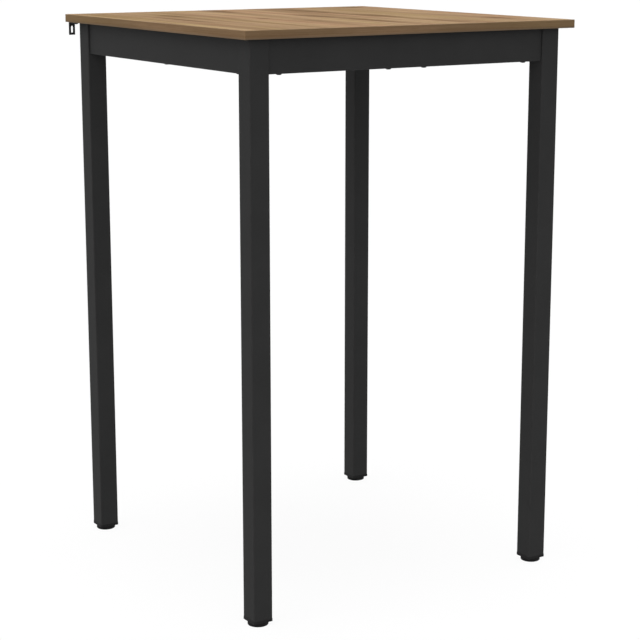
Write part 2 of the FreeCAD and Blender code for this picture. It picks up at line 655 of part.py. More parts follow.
def save_parts():
    """Write each sub-part to a STEP file of its own."""
    os.makedirs("parts", exist_ok=True)
    for part in parts:
        part.Shape.exportStep("parts/" + part.Label + ".step")
        print(part.Label, len(part.Shape.Solids), round(part.Shape.Volume))


fill_sheet()
make_core()
make_laminates()
make_bands()
make_legs()
make_caps()
make_aprons()
make_spigots()
make_fasteners()
make_end_plugs()
make_feet()
make_tabs()
check_model()
save_parts()
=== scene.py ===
import bmesh
import bpy
import math
from mathutils import Matrix, Vector


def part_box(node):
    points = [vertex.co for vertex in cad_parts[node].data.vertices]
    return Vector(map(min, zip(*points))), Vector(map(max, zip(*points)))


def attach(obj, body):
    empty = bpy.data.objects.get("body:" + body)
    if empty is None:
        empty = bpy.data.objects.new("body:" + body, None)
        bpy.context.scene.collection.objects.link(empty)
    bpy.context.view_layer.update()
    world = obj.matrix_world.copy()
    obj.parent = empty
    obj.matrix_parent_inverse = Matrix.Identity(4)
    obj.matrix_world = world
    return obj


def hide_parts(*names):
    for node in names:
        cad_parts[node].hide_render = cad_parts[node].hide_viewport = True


bl_info = {
    "name": "Bar table",
    "version": (1, 0, 0),
    "blender": (4, 5, 0),
    "location": "3D View > Sidebar > Bar table",
    "description": "Finishes and fine pieces of a square bar table with an oak top and a steel frame",
    "category": "Object",
}

# Metres, with the origin on the floor under the middle. +X runs right along the front, +Y back and +Z up.
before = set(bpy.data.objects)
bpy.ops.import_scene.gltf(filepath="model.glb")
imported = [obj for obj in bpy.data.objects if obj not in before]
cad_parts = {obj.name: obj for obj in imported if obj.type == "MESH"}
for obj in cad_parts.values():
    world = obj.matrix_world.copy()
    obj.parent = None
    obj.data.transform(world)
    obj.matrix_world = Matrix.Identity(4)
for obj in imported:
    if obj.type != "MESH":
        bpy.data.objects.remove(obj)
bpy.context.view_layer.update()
# The plain materials that come with the frame give way to those made here
for plain in list(bpy.data.materials):
    bpy.data.materials.remove(plain)
WHOLE_TURN = 2 * math.pi
CORNERS = ("front_left", "front_right", "back_right", "back_left")
TOP_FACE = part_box("decor_sheet")[1].z
TOP_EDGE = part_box("decor_sheet")[1].x
TOP_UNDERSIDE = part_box("backing_sheet")[0].z
APRON_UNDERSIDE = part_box("apron_front")[0].z
LEG_LOW, LEG_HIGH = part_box("leg_front_right")
LEG_CENTRE = (LEG_LOW.x + LEG_HIGH.x) / 2
BOLTS_LOW, BOLTS_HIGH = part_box("corner_bolts")
TOP_SCREWS_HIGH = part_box("top_screws")[1]
NUT_LOW, NUT_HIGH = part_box("foot_nut_front_right")
STEM_LOW, STEM_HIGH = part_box("foot_stem_front_right")
PAD_LOW, PAD_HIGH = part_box("foot_pad_front_right")
TAB_SCREWS_LOW, TAB_SCREWS_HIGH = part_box("tab_screws")

# Joints between the printed planks, across the top, and how far a joint's line reaches on either side
PLANKS = (-0.262, -0.157, -0.052, 0.048, 0.150, 0.251)
JOINT_REACH = (0.0002, 0.0009)
# Dark streaks of the oak decor: across, along, half width, half length, slant and depth of colour
STREAKS = (
    (-0.262, 0.030, 0.012, 0.280, 0.04, 0.50),
    (-0.212, 0.165, 0.012, 0.095, 0.03, 0.62),
    (-0.044, 0.290, 0.018, 0.120, 0.05, 0.85),
    (-0.112, -0.008, 0.011, 0.045, 0.10, 0.55),
    (-0.078, -0.125, 0.012, 0.090, -0.05, 0.42),
    (0.018, 0.030, 0.019, 0.130, 0.02, 0.66),
    (0.022, -0.150, 0.012, 0.240, 0.01, 0.60),
    (0.113, 0.200, 0.022, 0.280, -0.04, 0.62),
    (0.134, -0.020, 0.020, 0.150, -0.10, 0.62),
    (0.138, -0.250, 0.012, 0.160, 0.00, 0.62),
    (0.274, -0.215, 0.016, 0.085, 0.05, 0.66),
    (0.292, 0.320, 0.020, 0.080, 0.05, 0.62),
    (-0.346, -0.060, 0.010, 0.140, 0.00, 0.50),
)
# Patches that the oak's figure is made of: width and length, layer of the noise, detail and roughness
WANDER = (0.2000, 0.714, 3.1, 2, 0.50)
FIGURE = (0.0120, 0.300, 0.7, 4, 0.62)
LINES = (0.0024, 0.200, 5.3, 3, 0.60)
FIBRE = (0.00067, 0.038, 9.2, 2, 0.50)
FLECKS = (0.0067, 0.013, 6.6, 2, 0.50)
TONE = (0.0714, 0.909, 8.5, 2, 0.50)
BELTS = (0.0165, 0.420, 4.1, 2, 0.45)
TINT = (0.0588, 0.455, 1.9, 2, 0.50)
PORES = (0.00077, 0.021, 2.4, 1, 0.50)
# How far apart the planks lie in the noise, once for its wander and once for its figure
WANDER_STEP = 3.7
FIGURE_STEP = 5.3
# How far the grain wanders sideways and into the log, and how far the figure moves a growth ring
BEND = 0.022
LOG_WAVE = 0.06
RING_WAVE = 0.004
# How the planks are cut out of their logs: how far off the heart, how deep and how slanting
HEART_SPREAD = 0.75
LOG_DEPTH = 0.16
LOG_LEAN = 0.22
# Print of the edge bands: patches to a metre along and up a band and their layer of the noise, and the
# stripes up from its lower and down from its upper edge
PATCHES_OF_BAND = (11, 60, 4.4)
FOOT_OF_BAND = (0.001, 0.004)
HEAD_OF_BAND = (0.0016, 0.0004)
# Width of the line along the rim of the top
RIM_LINE = 0.0005
# Largest part of a tube's normal where its rounded edge counts in full and where it no longer counts
ROUND_EDGE = (0.86, 0.99)
# Lamps: the way to each of them and its width in degrees
OVERHEAD = ((0, 0, 1), 30)
LEFT = ((-1, -0.12, 0.52), 60)
IN_FRONT = ((-0.2, -1, 0.15), 60)
# What the lit floor gives back is raised by this, so that it stays white. Then its reach and the camera's
FLOOR_SHARE = 1.15
FLOOR_REACH = 60
SIGHT = 200


# Looks and sizes that a user would change


def a_length(name, description, default):
    """A length in a property group."""
    return bpy.props.FloatProperty(
        name=name, description=description, default=default, min=0.00001, unit="LENGTH", precision=5)


def a_share(name, description, default, most=1):
    """A share in a property group."""
    return bpy.props.FloatProperty(
        name=name, description=description, default=default, min=0, max=most, subtype="FACTOR")


def a_colour(name, description, *default):
    """A colour in a property group."""
    return bpy.props.FloatVectorProperty(
        name=name, description=description, default=default, size=3, min=0, max=1, subtype="COLOR")


class OakLooks(bpy.types.PropertyGroup):
    light: a_colour("Light wood", "Colour of the pale early wood", 0.478, 0.321, 0.1835)
    mid: a_colour("Grain", "Colour of the grain lines", 0.278, 0.172, 0.087)
    tint: a_colour("Golden patches", "Tint of the more golden patches", 0.955, 0.975, 0.845)
    blush: a_colour("Pink patches", "Tint of the pinker patches", 1.0, 0.92, 0.915)
    dark: a_colour("Streaks", "Colour of the dark streaks and pores", 0.150, 0.077, 0.029)
    fleck: a_colour("Flecks", "Colour of the short pale flecks across the grain", 0.52, 0.37, 0.23)
    # What the bands keep of the decor's colour darkens them: painted shade, deeper on the front and back
    # bands than on the left and right ones
    side_painted_shade: a_share("Side bands", "What the left and right bands keep of the decor's colour", 0.885)
    front_painted_shade: a_share("Front bands", "What the front and back bands keep of the decor's colour", 0.715)
    band_patch: a_colour("Band patches", "Colour of the patches of the edge bands", 0.300, 0.205, 0.105)
    band_foot: a_colour("Band foot", "Colour along the lower edge of the edge bands", 0.245, 0.195, 0.150)
    band_head: a_colour("Band head", "Colour along the upper edge of the edge bands", 0.520, 0.385, 0.250)
    grain: a_share("Fine grain", "How much the fine grain darkens the wood", 0.56)
    rings: a_share("Growth rings", "How much the growth rings darken the wood", 0.26)
    patches: a_share("Broad patches", "How much the broad patches darken the wood", 0.28)
    belts: a_share("Belts", "How much the belts along the grain darken the wood", 0.66)
    planks: a_share("Planks", "How much lighter or darker a plank can be than another", 0.26)
    lift: a_share("Lift", "Share of the dark colour that is taken away all over", 0.12)
    ring_wide: a_length("Ring width", "Distance between growth rings", 0.0075)
    pore_depth: a_length("Pore depth", "Depth of the embossed pores", 0.00006)
    roughness: a_share("Roughness", "Roughness of the matt laminate", 0.74)


class BoardLooks(bpy.types.PropertyGroup):
    chip_dark: a_colour("Dark chips", "Colour of the darkest chips of the board", 0.36, 0.25, 0.15)
    chip_light: a_colour("Light chips", "Colour of the palest chips of the board", 0.66, 0.52, 0.36)
    glue: a_colour("Glue", "Colour of the glued dust between the chips", 0.26, 0.17, 0.10)
    backing_dark: a_colour("Dark backing", "Darker colour of the backing sheet", 0.145, 0.117, 0.098)
    backing_light: a_colour("Light backing", "Lighter colour of the backing sheet", 0.172, 0.141, 0.120)
    rub: a_colour("Rub marks", "Colour of the rub marks on the backing sheet", 0.25, 0.22, 0.19)


class CoatLooks(bpy.types.PropertyGroup):
    steel: a_colour("Powder coat", "Colour of the steel frame", 0.0385, 0.0385, 0.0385)
    roughness: a_share("Roughness", "Roughness of the powder coat", 0.70)
    peel_size: a_length("Peel size", "Width of the dimples of the powder coat", 0.0012)
    peel_depth: a_length("Peel depth", "Depth of the dimples of the powder coat", 0.00005)
    plastic: a_colour("Plastic", "Colour of the moulded end plugs and leg caps", 0.020, 0.020, 0.020)
    pad: a_colour("Foot pads", "Colour of the moulded foot pads", 0.012, 0.012, 0.012)
    scuff: a_colour("Scuffs", "Colour of the scuffs on the plastic", 0.060, 0.060, 0.061)
    zinc: a_colour("Zinc plate", "Colour of the foot stems and nuts", 0.62, 0.63, 0.64)
    zinc_cloud: a_colour("Zinc clouds", "Colour of the bluish clouds of the zinc plate", 0.50, 0.51, 0.545)
    zinc_dull: a_colour("Dull spots", "Colour of the dull spots of the zinc plate", 0.40, 0.39, 0.37)
    screw: a_colour("Screws", "Colour of the blackened screws", 0.018, 0.018, 0.019)
    screw_worn: a_colour("Worn screws", "Colour of the screws where the black is worn", 0.12, 0.12, 0.12)


class ScrewSizes(bpy.types.PropertyGroup):
    head_wide: a_length("Head width", "Diameter of the domed heads", 0.0095)
    head_high: a_length("Head height", "Height of the domed heads", APRON_UNDERSIDE - BOLTS_LOW.z)
    socket_across: a_length("Socket", "Across flats of the hexagon socket", 0.003)
    socket_deep: a_length("Socket depth", "Depth of the hexagon socket", 0.0016)
    shank_wide: a_length("Thread diameter", "Outer diameter of the threads", 0.005)
    bolt_pitch: a_length("Bolt pitch", "Thread pitch of the corner bolts", 0.0008)
    bolt_cut: a_length("Bolt thread", "Depth of the corner bolts' thread", 0.00045)
    bolt_back: a_length("Bolt place", "From the inner face of a leg to a corner bolt", 0.030)
    wood_pitch: a_length("Wood screw pitch", "Thread pitch of the screws that go into the top", 0.0022)
    wood_cut: a_length("Wood screw thread", "Depth of the top screws' thread", 0.0008)
    wood_long: a_length("Wood screw end", "Length of the threaded end of a top screw", 0.029)
    wood_tip: a_length("Wood screw tip", "Length of the tip of a top screw", 0.0035)
    wood_apart: a_length("Top screw place", "From the middle of an apron to a top screw", 0.038)
    seed: bpy.props.IntProperty(
        name="Seed", description="Settles how far round each screw is turned", min=0, default=7)


class FootSizes(bpy.types.PropertyGroup):
    plug_ease: a_length("Plug edge", "Rounding of the edges of the end plugs", 0.0004)
    nut_bore: a_length("Nut bore", "Diameter of the nut's threaded hole", 0.0081)
    nut_ease: a_length("Nut mouth", "Bevel round the mouths of the nut's hole", 0.0004)
    stem_wide: a_length("Stem diameter", "Outer diameter of the stem's thread", 0.008)
    pitch: a_length("Stem pitch", "Thread pitch of the foot stems", 0.00125)
    cut: a_length("Stem thread", "Depth of the stem's thread", 0.00072)
    button_high: a_length("Button height", "Height of the button that the pad is snapped onto", 0.003)
    neck: a_length("Neck", "Plain part of the stem over its button", 0.0024)
    key_across: a_length("Key size", "Across flats of the stem's hexagon socket", 0.005)
    key_deep: a_length("Key depth", "Depth of the stem's hexagon socket", 0.002)
    eye: a_length("Pad eye", "Diameter of the opening under the pad for the key", 0.010)
    slip: a_length("Slip", "Room that the stem and its button have in the pad", 0.0001)
    rim: a_length("Pad rim", "Bevel round the lower rim of a foot pad", 0.0008)
    crown: a_length("Pad crown", "Rounding round the upper edge of a foot pad", 0.0007)


class TabSizes(bpy.types.PropertyGroup):
    thick: a_length("Tab thickness", "Thickness of the steel of a wall tab", 0.002)
    ease: a_length("Tab edge", "Rounding of the edges of a wall tab", 0.00025)
    head_wide: a_length("Head width", "Diameter of the tab screws' heads", 0.007)
    shank_wide: a_length("Thread diameter", "Outer diameter of the tab screws' thread", 0.0035)
    pitch: a_length("Pitch", "Thread pitch of the tab screws", 0.0014)
    cut: a_length("Thread", "Depth of the tab screws' thread", 0.00055)
    neck: a_length("Neck", "Plain part of a tab screw under its head", 0.0022)
    tip: a_length("Tip", "Length of the tip of a tab screw", 0.0023)
    cross_long: a_length("Cross length", "Length of an arm pair of the cross recess", 0.0036)
    cross_wide: a_length("Cross width", "Width of an arm of the cross recess", 0.0010)
    cross_deep: a_length("Cross depth", "Depth of the cross recess", 0.0013)


class StageLooks(bpy.types.PropertyGroup):
    place: bpy.props.FloatVectorProperty(
        name="Camera place", description="Where the camera stands", size=3, subtype="TRANSLATION",
        unit="LENGTH", default=(-1.8116, -2.8777, 1.2104))
    heading: bpy.props.FloatProperty(
        name="Heading", description="Turn of the view from straight back towards the right",
        subtype="ANGLE", default=0.56629)
    tilt: bpy.props.FloatProperty(
        name="Tilt", description="How far the camera looks down",
        subtype="ANGLE", default=math.radians(12.43))
    lens: bpy.props.FloatProperty(
        name="Lens", description="Focal length on a 36 mm sensor", min=1, default=99.5, unit="CAMERA")
    overhead: a_share("Overhead lamp", "Share of the top's light that comes from the overhead lamp", 0.62, 2)
    side: a_share("Left lamp", "Strength of the lamp on the left", 0.26, 2)
    front: a_share("Front lamp", "Strength of the low lamp in front", 0.37, 2)
    sky: a_share("Soft light", "Share of the top's light that comes from all round", 0.21, 2)
    bounce: a_share("Floor bounce", "Share of its light that the floor gives back", 0.25)
    shadow: a_share("Floor shadow", "Share of the floor's white that the shadow takes away", 0.06)


# Materials


class Wire:
    """One output of a shader node, with which sums can be written."""

    def __init__(self, recipe, socket):
        self.recipe = recipe
        self.socket = socket

    def math(self, operation, *others):
        """A Math node whose first value is this one."""
        return self.recipe.math(operation, self, *others)

    def __add__(self, other):
        return self.math("ADD", other)

    def __radd__(self, other):
        return self.recipe.math("ADD", other, self)

    def __sub__(self, other):
        return self.math("SUBTRACT", other)

    def __rsub__(self, other):
        return self.recipe.math("SUBTRACT", other, self)

    def __mul__(self, other):
        return self.math("MULTIPLY", other)

    def __truediv__(self, other):
        return self.math("DIVIDE", other)

    def __pow__(self, other):
        return self.math("POWER", other)

    def __abs__(self):
        return self.math("ABSOLUTE")


class Recipe:
    """The node tree of a material or of the world while it is put together."""

    def __init__(self, owner):
        owner.use_nodes = True
        self.tree = owner.node_tree
        self.tree.nodes.clear()

    def node(self, kind, settings=None, sockets=None):
        """Add a node, give it its settings and the values or wires of its sockets, and return its outputs."""
        made = self.tree.nodes.new(kind)
        for key, setting in (settings or {}).items():
            setattr(made, key, setting)
        usable = [socket for socket in made.inputs if socket.enabled]
        for key, value in (sockets or {}).items():
            socket = usable[key] if isinstance(key, int) else [one for one in usable if one.name == key][0]
            if isinstance(value, Wire):
                self.tree.links.new(value.socket, socket)
            elif socket.type == "RGBA":
                socket.default_value = (*value, 1)
            else:
                socket.default_value = value
        return {socket.name: Wire(self, socket) for socket in reversed(made.outputs) if socket.enabled}

    def math(self, operation, *values):
        """A Math node with its values in order."""
        return self.node("ShaderNodeMath", {"operation": operation}, dict(enumerate(values)))["Value"]

    def split(self, vector):
        """The three numbers of a vector."""
        parts = self.node("ShaderNodeSeparateXYZ", None, {"Vector": vector})
        return parts["X"], parts["Y"], parts["Z"]

    def point(self):
        """The point on the piece, in the piece's own coordinates."""
        return self.node("ShaderNodeTexCoord")["Object"]

    def edges(self):
        """1 on the rounded edges of a square tube and 0 on its flat sides."""
        x, y, z = (abs(part) for part in self.split(self.node("ShaderNodeTexCoord")["Normal"]))
        return 1 - self.step(x.math("MAXIMUM", y).math("MAXIMUM", z), *ROUND_EDGE)

    def vector(self, x, y, z):
        """A vector from its three numbers."""
        return self.node("ShaderNodeCombineXYZ", None, {"X": x, "Y": y, "Z": z})["Vector"]

    def noise(self, point, size=1.0, detail=2.0, roughness=0.5):
        """Soft noise from 0 to 1 about 0.5, in patches of that size."""
        return self.node("ShaderNodeTexNoise", {"noise_dimensions": "3D"}, {
            "Vector": point, "Scale": 1 / size, "Detail": detail, "Roughness": roughness})["Fac"]

    def stretched(self, point, sizes):
        """The point, counted along each axis in lengths of so much."""
        return self.vector(*(axis / size for axis, size in zip(self.split(point), sizes)))

    def grain(self, part, side, run, plank_layer):
        """One part of the oak's figure, from its line of sizes."""
        wide, long, layer, detail, roughness = part
        return self.noise(self.vector(side / wide, run / long, plank_layer + layer), detail=detail,
                          roughness=roughness)

    def chances(self, number):
        """Three chance numbers from 0 to 1 that stay the same for the same number."""
        colour = self.node("ShaderNodeTexWhiteNoise", {"noise_dimensions": "1D"}, {"W": number})["Color"]
        parts = self.node("ShaderNodeSeparateColor", None, {"Color": colour})
        return parts["Red"], parts["Green"], parts["Blue"]

    def layers(self, colour, *layers, way="MIX"):
        """A colour with other colours laid over it in order, each by its share."""
        for share, over in layers:
            colour = self.node("ShaderNodeMix", {"data_type": "RGBA", "blend_type": way}, {
                "Factor": share, "A": colour, "B": over})["Result"]
        return colour

    def step(self, value, low, high):
        """0 at the low end and 1 at the high end, with a smooth change between them."""
        return self.node("ShaderNodeMapRange", {"interpolation_type": "SMOOTHSTEP"}, {
            "Value": value, "From Min": low, "From Max": high, "To Min": 0.0, "To Max": 1.0})["Result"]

    def bump(self, height, distance):
        """A normal that follows a height from 0 to 1 over a depth."""
        return self.node("ShaderNodeBump", None, {"Distance": distance, "Height": height})["Normal"]

    def finish(self, colour, roughness, normal, **constants):
        """End the tree in one surface shader. In a constant's name _ stands for a space."""
        sockets = {"Base Color": colour, "Roughness": roughness, "Normal": normal}
        sockets.update({key.replace("_", " "): value for key, value in constants.items()})
        surface = self.node("ShaderNodeBsdfPrincipled", None, sockets)["BSDF"]
        self.node("ShaderNodeOutputMaterial", None, {"Surface": surface})


def tinted(colour, times):
    """A colour made lighter or darker."""
    return tuple(part * times for part in colour)


def oak(mix, along, across, shade=1.0, planks=(), streaks=(), band=False):
    """Printed oak with its grain along one axis: rings, fine grain, pores and, on the top, dark streaks."""
    looks = bpy.context.scene.bar_table_oak
    axes = mix.split(mix.point())
    run = axes[along]
    side = axes[across]
    plank = 0.0
    seam = 0.0
    for joint in planks:
        plank = plank + side.math("GREATER_THAN", joint)
        seam = mix.math("MAXIMUM", seam, 1 - mix.step(abs(side - joint), *JOINT_REACH))
    first, second, third = mix.chances(plank + 0.5)
    wander = mix.grain(WANDER, side, run, plank * WANDER_STEP) - 0.5
    bent = side + wander * BEND
    figure, lines, fibre, flecks, tone, belts, tint, pores = (
        mix.grain(part, bent, run, plank * FIGURE_STEP)
        for part in (FIGURE, LINES, FIBRE, FLECKS, TONE, BELTS, TINT, PORES))
    from_heart = bent - (first - 0.5) * HEART_SPREAD
    in_log = (second - 0.5) * LOG_DEPTH + run * (third - 0.5) * LOG_LEAN + wander * LOG_WAVE
    ring_place = (from_heart * from_heart + in_log * in_log) ** 0.5 + (figure - 0.5) * RING_WAVE
    rings = mix.step((ring_place * (WHOLE_TURN / looks.ring_wide)).math("SINE"), 0.05, 1.0)
    pores = mix.step(pores + rings * 0.05, 0.60, 0.72)
    grain = mix.step(figure * 0.6 + lines * 0.4, 0.40, 0.64)
    patches = mix.step(tone, 0.38, 0.64)
    belts = mix.step(belts, 0.40, 0.66)
    golden = mix.step(tint, 0.50, 0.66)
    pink = 1 - mix.step(tint, 0.34, 0.50)
    flecks = mix.step(flecks, 0.62, 0.78)
    depth = (grain * looks.grain + rings * looks.rings + patches * looks.patches + belts * looks.belts
             + (third - 0.5) * looks.planks - looks.lift)
    colour = mix.layers(looks.light, (depth, looks.mid))
    colour = mix.layers(colour, (golden, looks.tint), (pink, looks.blush), way="MULTIPLY")
    if streaks:
        colour = streaked(mix, colour, looks.dark, bent, run, figure, lines, streaks)
    colour = mix.layers(colour, (pores * 0.30 + seam * 0.30, looks.dark), (flecks * 0.12, looks.fleck))
    if band:
        threads = mix.step(fibre, 0.50, 0.68)
        # On a band, shade is painted shade that darkens it
        colour = banded(mix, colour, looks, run, axes[2], shade)
        colour = mix.layers(colour, (threads * 0.16, looks.dark))
    else:
        rim = mix.step(abs(axes[0]).math("MAXIMUM", abs(axes[1])), TOP_EDGE - RIM_LINE, TOP_EDGE)
        colour = mix.layers(colour, (rim * 0.35, looks.dark))
    rough = looks.roughness + (lines - 0.5) * 0.10 + pores * 0.08
    height = fibre * 0.35 + lines * 0.35 - pores * 0.9 - seam * 0.8
    mix.finish(colour, rough, mix.bump(height, looks.pore_depth), Specular_IOR_Level=0.06)


def streaked(mix, colour, dark, bent, run, figure, lines, streaks):
    """The oak's colour with its dark streaks, each with a soft halo, ragged sides and thin ends."""
    ragged = (lines - 0.5) * 0.6 + (figure - 0.5) * 1.3
    depth = 0.0
    for place, middle, wide, long, slant, strength in streaks:
        taper = 1 - mix.step(abs(run - middle) / long, 0.1, 1.0)
        off = abs((bent - place - (run - middle) * slant) / wide + ragged)
        core = 1 - mix.step(off, 0.0, taper * 1.2 + 0.2)
        halo = 1 - mix.step(off, 0.0, taper * 3.4 + 0.6)
        depth = depth + (core * 0.52 + halo * 0.44) * taper * strength
    veins = mix.step(figure * 0.55 + lines * 0.45, 0.36, 0.60) * 0.85 + 0.40
    return mix.layers(colour, (mix.step(depth * veins, 0.0, 0.78), dark))


def banded(mix, colour, looks, run, height, shade):
    """The plainer print of the edge bands: evened out, patchy, greyer at its foot and paler at its head, and
    darkened by painted shade.
    """
    even = tuple((light + mid) / 2 for light, mid in zip(looks.light, looks.mid))
    along, upward, layer = PATCHES_OF_BAND
    patches = mix.step(mix.noise(mix.vector(run * along, height * upward, layer)), 0.42, 0.64)
    foot = 1 - mix.step(height, *(TOP_UNDERSIDE + part for part in FOOT_OF_BAND))
    head = mix.step(height, *(TOP_FACE - part for part in HEAD_OF_BAND))
    return mix.layers(
        colour,
        (0.45, even),
        (patches * 0.22, looks.band_patch),
        (foot * 0.45, looks.band_foot),
        (head * 0.30, looks.band_head),
        # Painted shade: the band darkened towards black by its share
        (1 - shade, (0.0, 0.0, 0.0)))


def powder_coat(mix):
    """Matt powder coat: soft dimples, fine grain, faint specks, and edges that are rubbed smoother."""
    looks = bpy.context.scene.bar_table_coat
    point = mix.point()
    peel = mix.noise(point, size=looks.peel_size, roughness=0.45)
    grain = mix.noise(point, size=0.0002, detail=1)
    cloud = mix.noise(point, size=0.07)
    specks = mix.step(mix.noise(point, size=0.0006, detail=0), 0.76, 0.82)
    rubbed = mix.edges() * mix.step(mix.noise(point, size=0.018, detail=3, roughness=0.6), 0.40, 0.66)
    light = mix.step(cloud * 0.3 + grain * 0.7, 0.35, 0.65)
    colour = mix.layers(
        tinted(looks.steel, 0.86),
        (light, tinted(looks.steel, 1.14)),
        (specks * 0.35 + rubbed * 0.10, tinted(looks.steel, 2.4)))
    rough = looks.roughness + (cloud - 0.5) * 0.08 + (grain - 0.5) * 0.10 - rubbed * 0.14
    skin = mix.bump(peel * 0.75 + grain * 0.25, looks.peel_depth)
    mix.finish(colour, rough, skin, Specular_IOR_Level=0.10)


def moulded_plastic(mix, base):
    """Moulded plastic of one main colour, with a fine spark texture, faint flow marks and scuffs."""
    looks = bpy.context.scene.bar_table_coat
    point = mix.point()
    spark = mix.noise(point, size=0.0003, roughness=0.6)
    flow = mix.noise(mix.stretched(point, (0.017, 0.017, 0.0042)))
    marks = mix.step(flow, 0.35, 0.70)
    scuffs = mix.step(mix.noise(mix.stretched(point, (0.002, 0.002, 0.011)), detail=3), 0.66, 0.80)
    colour = mix.layers(base, (marks * 0.30, tinted(base, 1.5)), (scuffs * 0.25, looks.scuff))
    rough = 0.62 + (spark - 0.5) * 0.16 + (flow - 0.5) * 0.10
    mix.finish(colour, rough, mix.bump(spark, distance=0.00003), Specular_IOR_Level=0.08)


def zinc_plate(mix):
    """Bright zinc plate: cloudy, with fine drawn lines and a few dull spots."""
    looks = bpy.context.scene.bar_table_coat
    point = mix.point()
    cloud = mix.noise(point, size=0.0038, detail=3)
    blue = mix.step(cloud, 0.35, 0.70)
    drawn = mix.noise(mix.stretched(point, (0.0011, 0.0011, 0.00011)), detail=1)
    spots = mix.step(mix.noise(point, size=0.0011, detail=1), 0.66, 0.78)
    colour = mix.layers(looks.zinc, (blue * 0.5, looks.zinc_cloud), (spots * 0.45, looks.zinc_dull))
    rough = 0.30 + cloud * 0.12 + spots * 0.15
    mix.finish(colour, rough, mix.bump(drawn, distance=0.000006), Metallic=1.0)


def black_finish(mix):
    """Blackened steel of the screws, worn towards bare metal in fine specks."""
    looks = bpy.context.scene.bar_table_coat
    point = mix.point()
    cloud = mix.noise(point, size=0.0024)
    worn = mix.step(mix.noise(point, size=0.00067), 0.68, 0.80)
    colour = mix.layers(looks.screw, (cloud * 0.4, tinted(looks.screw, 1.7)), (worn * 0.25, looks.screw_worn))
    rough = 0.38 + (cloud - 0.5) * 0.16 + worn * 0.05
    skin = mix.bump(cloud, distance=0.00001)
    mix.finish(colour, rough, skin, Metallic=0.2, Specular_IOR_Level=0.2)


def pressed_board(mix):
    """Raw pressed wood chips and the glued dust between them."""
    looks = bpy.context.scene.bar_table_board
    point = mix.point()
    flat = mix.stretched(point, (0.0038, 0.0067, 0.0014))
    chips = mix.node("ShaderNodeTexVoronoi", {"feature": "F1"}, {"Vector": flat, "Scale": 1.0})
    shade = mix.node("ShaderNodeSeparateColor", None, {"Color": chips["Color"]})["Red"]
    dust = mix.noise(point, size=0.00038)
    glue = mix.step(dust, 0.55, 0.75)
    colour = mix.layers(looks.chip_dark, (shade, looks.chip_light), (glue * 0.4, looks.glue))
    rough = 0.82 + (dust - 0.5) * 0.1
    mix.finish(colour, rough, mix.bump(shade + dust, distance=0.0002), Specular_IOR_Level=0.3)


def backing_laminate(mix):
    """Plain dark backing sheet with a fine pearl texture and faint rub marks."""
    looks = bpy.context.scene.bar_table_board
    point = mix.point()
    pearl = mix.noise(point, size=0.00067, detail=1)
    rubs = mix.noise(mix.stretched(point, (0.062, 0.0077, 1.0)), detail=4, roughness=0.65)
    rubs = mix.step(rubs, 0.60, 0.80)
    cloud = mix.step(mix.noise(point, size=0.11), 0.3, 0.7)
    colour = mix.layers(looks.backing_dark, (cloud, looks.backing_light), (rubs * 0.18, looks.rub))
    rough = 0.52 + (pearl - 0.5) * 0.14 + rubs * 0.08
    mix.finish(colour, rough, mix.bump(pearl, distance=0.00004), Specular_IOR_Level=0.35)


def one_material(name, maker, *details, **more):
    """The material of that name, put together when it is first asked for."""
    material = bpy.data.materials.get(name)
    if not material:
        material = bpy.data.materials.new(name)
        maker(Recipe(material), *details, **more)
    return material


def coat_nodes(material, *nodes):
    """Give CAD nodes, which stay as they are, their material."""
    for node in nodes:
        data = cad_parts[node].data
        data.materials.clear()
        data.materials.append(material)


# Shapes

# Takes the place of 0 where something is divided by it
ALMOST_NONE = 1e-9
# From the middle of a hexagon's side to its corner
HEXAGON_CORNER = math.pi / 6
# Points round a small and round a large piece, and the angle from which an edge is shaded sharp
FINE = 24
SMOOTH = 64
SHARP = math.radians(35)
# How near points are joined, in a CAD node and in a shape made here
JOIN_CAD = 1e-6
JOIN_OWN = 1e-7
# Faces of a CAD node that bend by less than this are joined, and edges that bend by more are eased
FLAT = math.radians(1)
EASED = math.radians(40)
# Thread: half of its crest and one flank as shares of the pitch, and the rings of points for each turn
HALF_CREST_SHARE = 0.0875
FLANK_SHARE = 0.25
THREAD_ROWS = 8
# Screw: width of its point as a share of its shank, the land round its recess as a share of the recess, the
# lip as a share of the head's height, the power of the dome's curve and its steps
POINT_SHARE = 0.05
LAND_SHARE = 1.12
LIP_SHARE = 0.42
DOME_POWER = 0.7
DOME_STEPS = 7
# Depth that a drill leaves under the recess, and the break of the head's edges
DRILL_POINT = 0.0003
HEAD_EDGE = 0.00015
# Nut: its face as a share of its width, and its slope, out as shares of the width and up of the height
FACE_SHARE = 0.95
SLOPE_SHARES = ((0.027, 0.03), (0.062, 0.07), (0.154, 0.12))
# Pad: its rim and crown, in from the side and up or down from the face as shares of the edge
RIM_SHARES = ((0.9, 0.05), (0.1, 0.9), (0, 1.1))
CROWN_SHARES = ((0, 1), (0.13, 0.5), (0.5, 0.13), (1, 0))


def round_angles(steps):
    """Even angles once round."""
    return [WHOLE_TURN * number / steps for number in range(steps)]


def hexagon(across):
    """The radius of a hexagon by angle, from its width across flats."""
    side = HEXAGON_CORNER * 2
    return lambda angle: across / 2 / math.cos((angle + HEXAGON_CORNER) % side - HEXAGON_CORNER)


def cross(long, wide):
    """The radius of a cross recess by angle, from the length and width of its arms."""
    def reach(angle):
        flat, upright = (max(abs(part), ALMOST_NONE) for part in (math.cos(angle), math.sin(angle)))
        return max(min(long / 2 / flat, wide / 2 / upright), min(long / 2 / upright, wide / 2 / flat))
    return reach


def trimmed(shape, radius):
    """A radius by angle that is never more than a radius."""
    return lambda angle: min(shape(angle), radius)


def thread(outer, cut, pitch, height, depth):
    """The radius of a screw thread by angle at one height, cut to a share of its depth."""
    def radius(angle):
        phase = (height / pitch - angle / WHOLE_TURN) % 1
        crest = 1 - (abs(phase - 0.5) - HALF_CREST_SHARE) / FLANK_SHARE
        return outer - cut + cut * min(1, max(0, crest)) * depth
    return radius


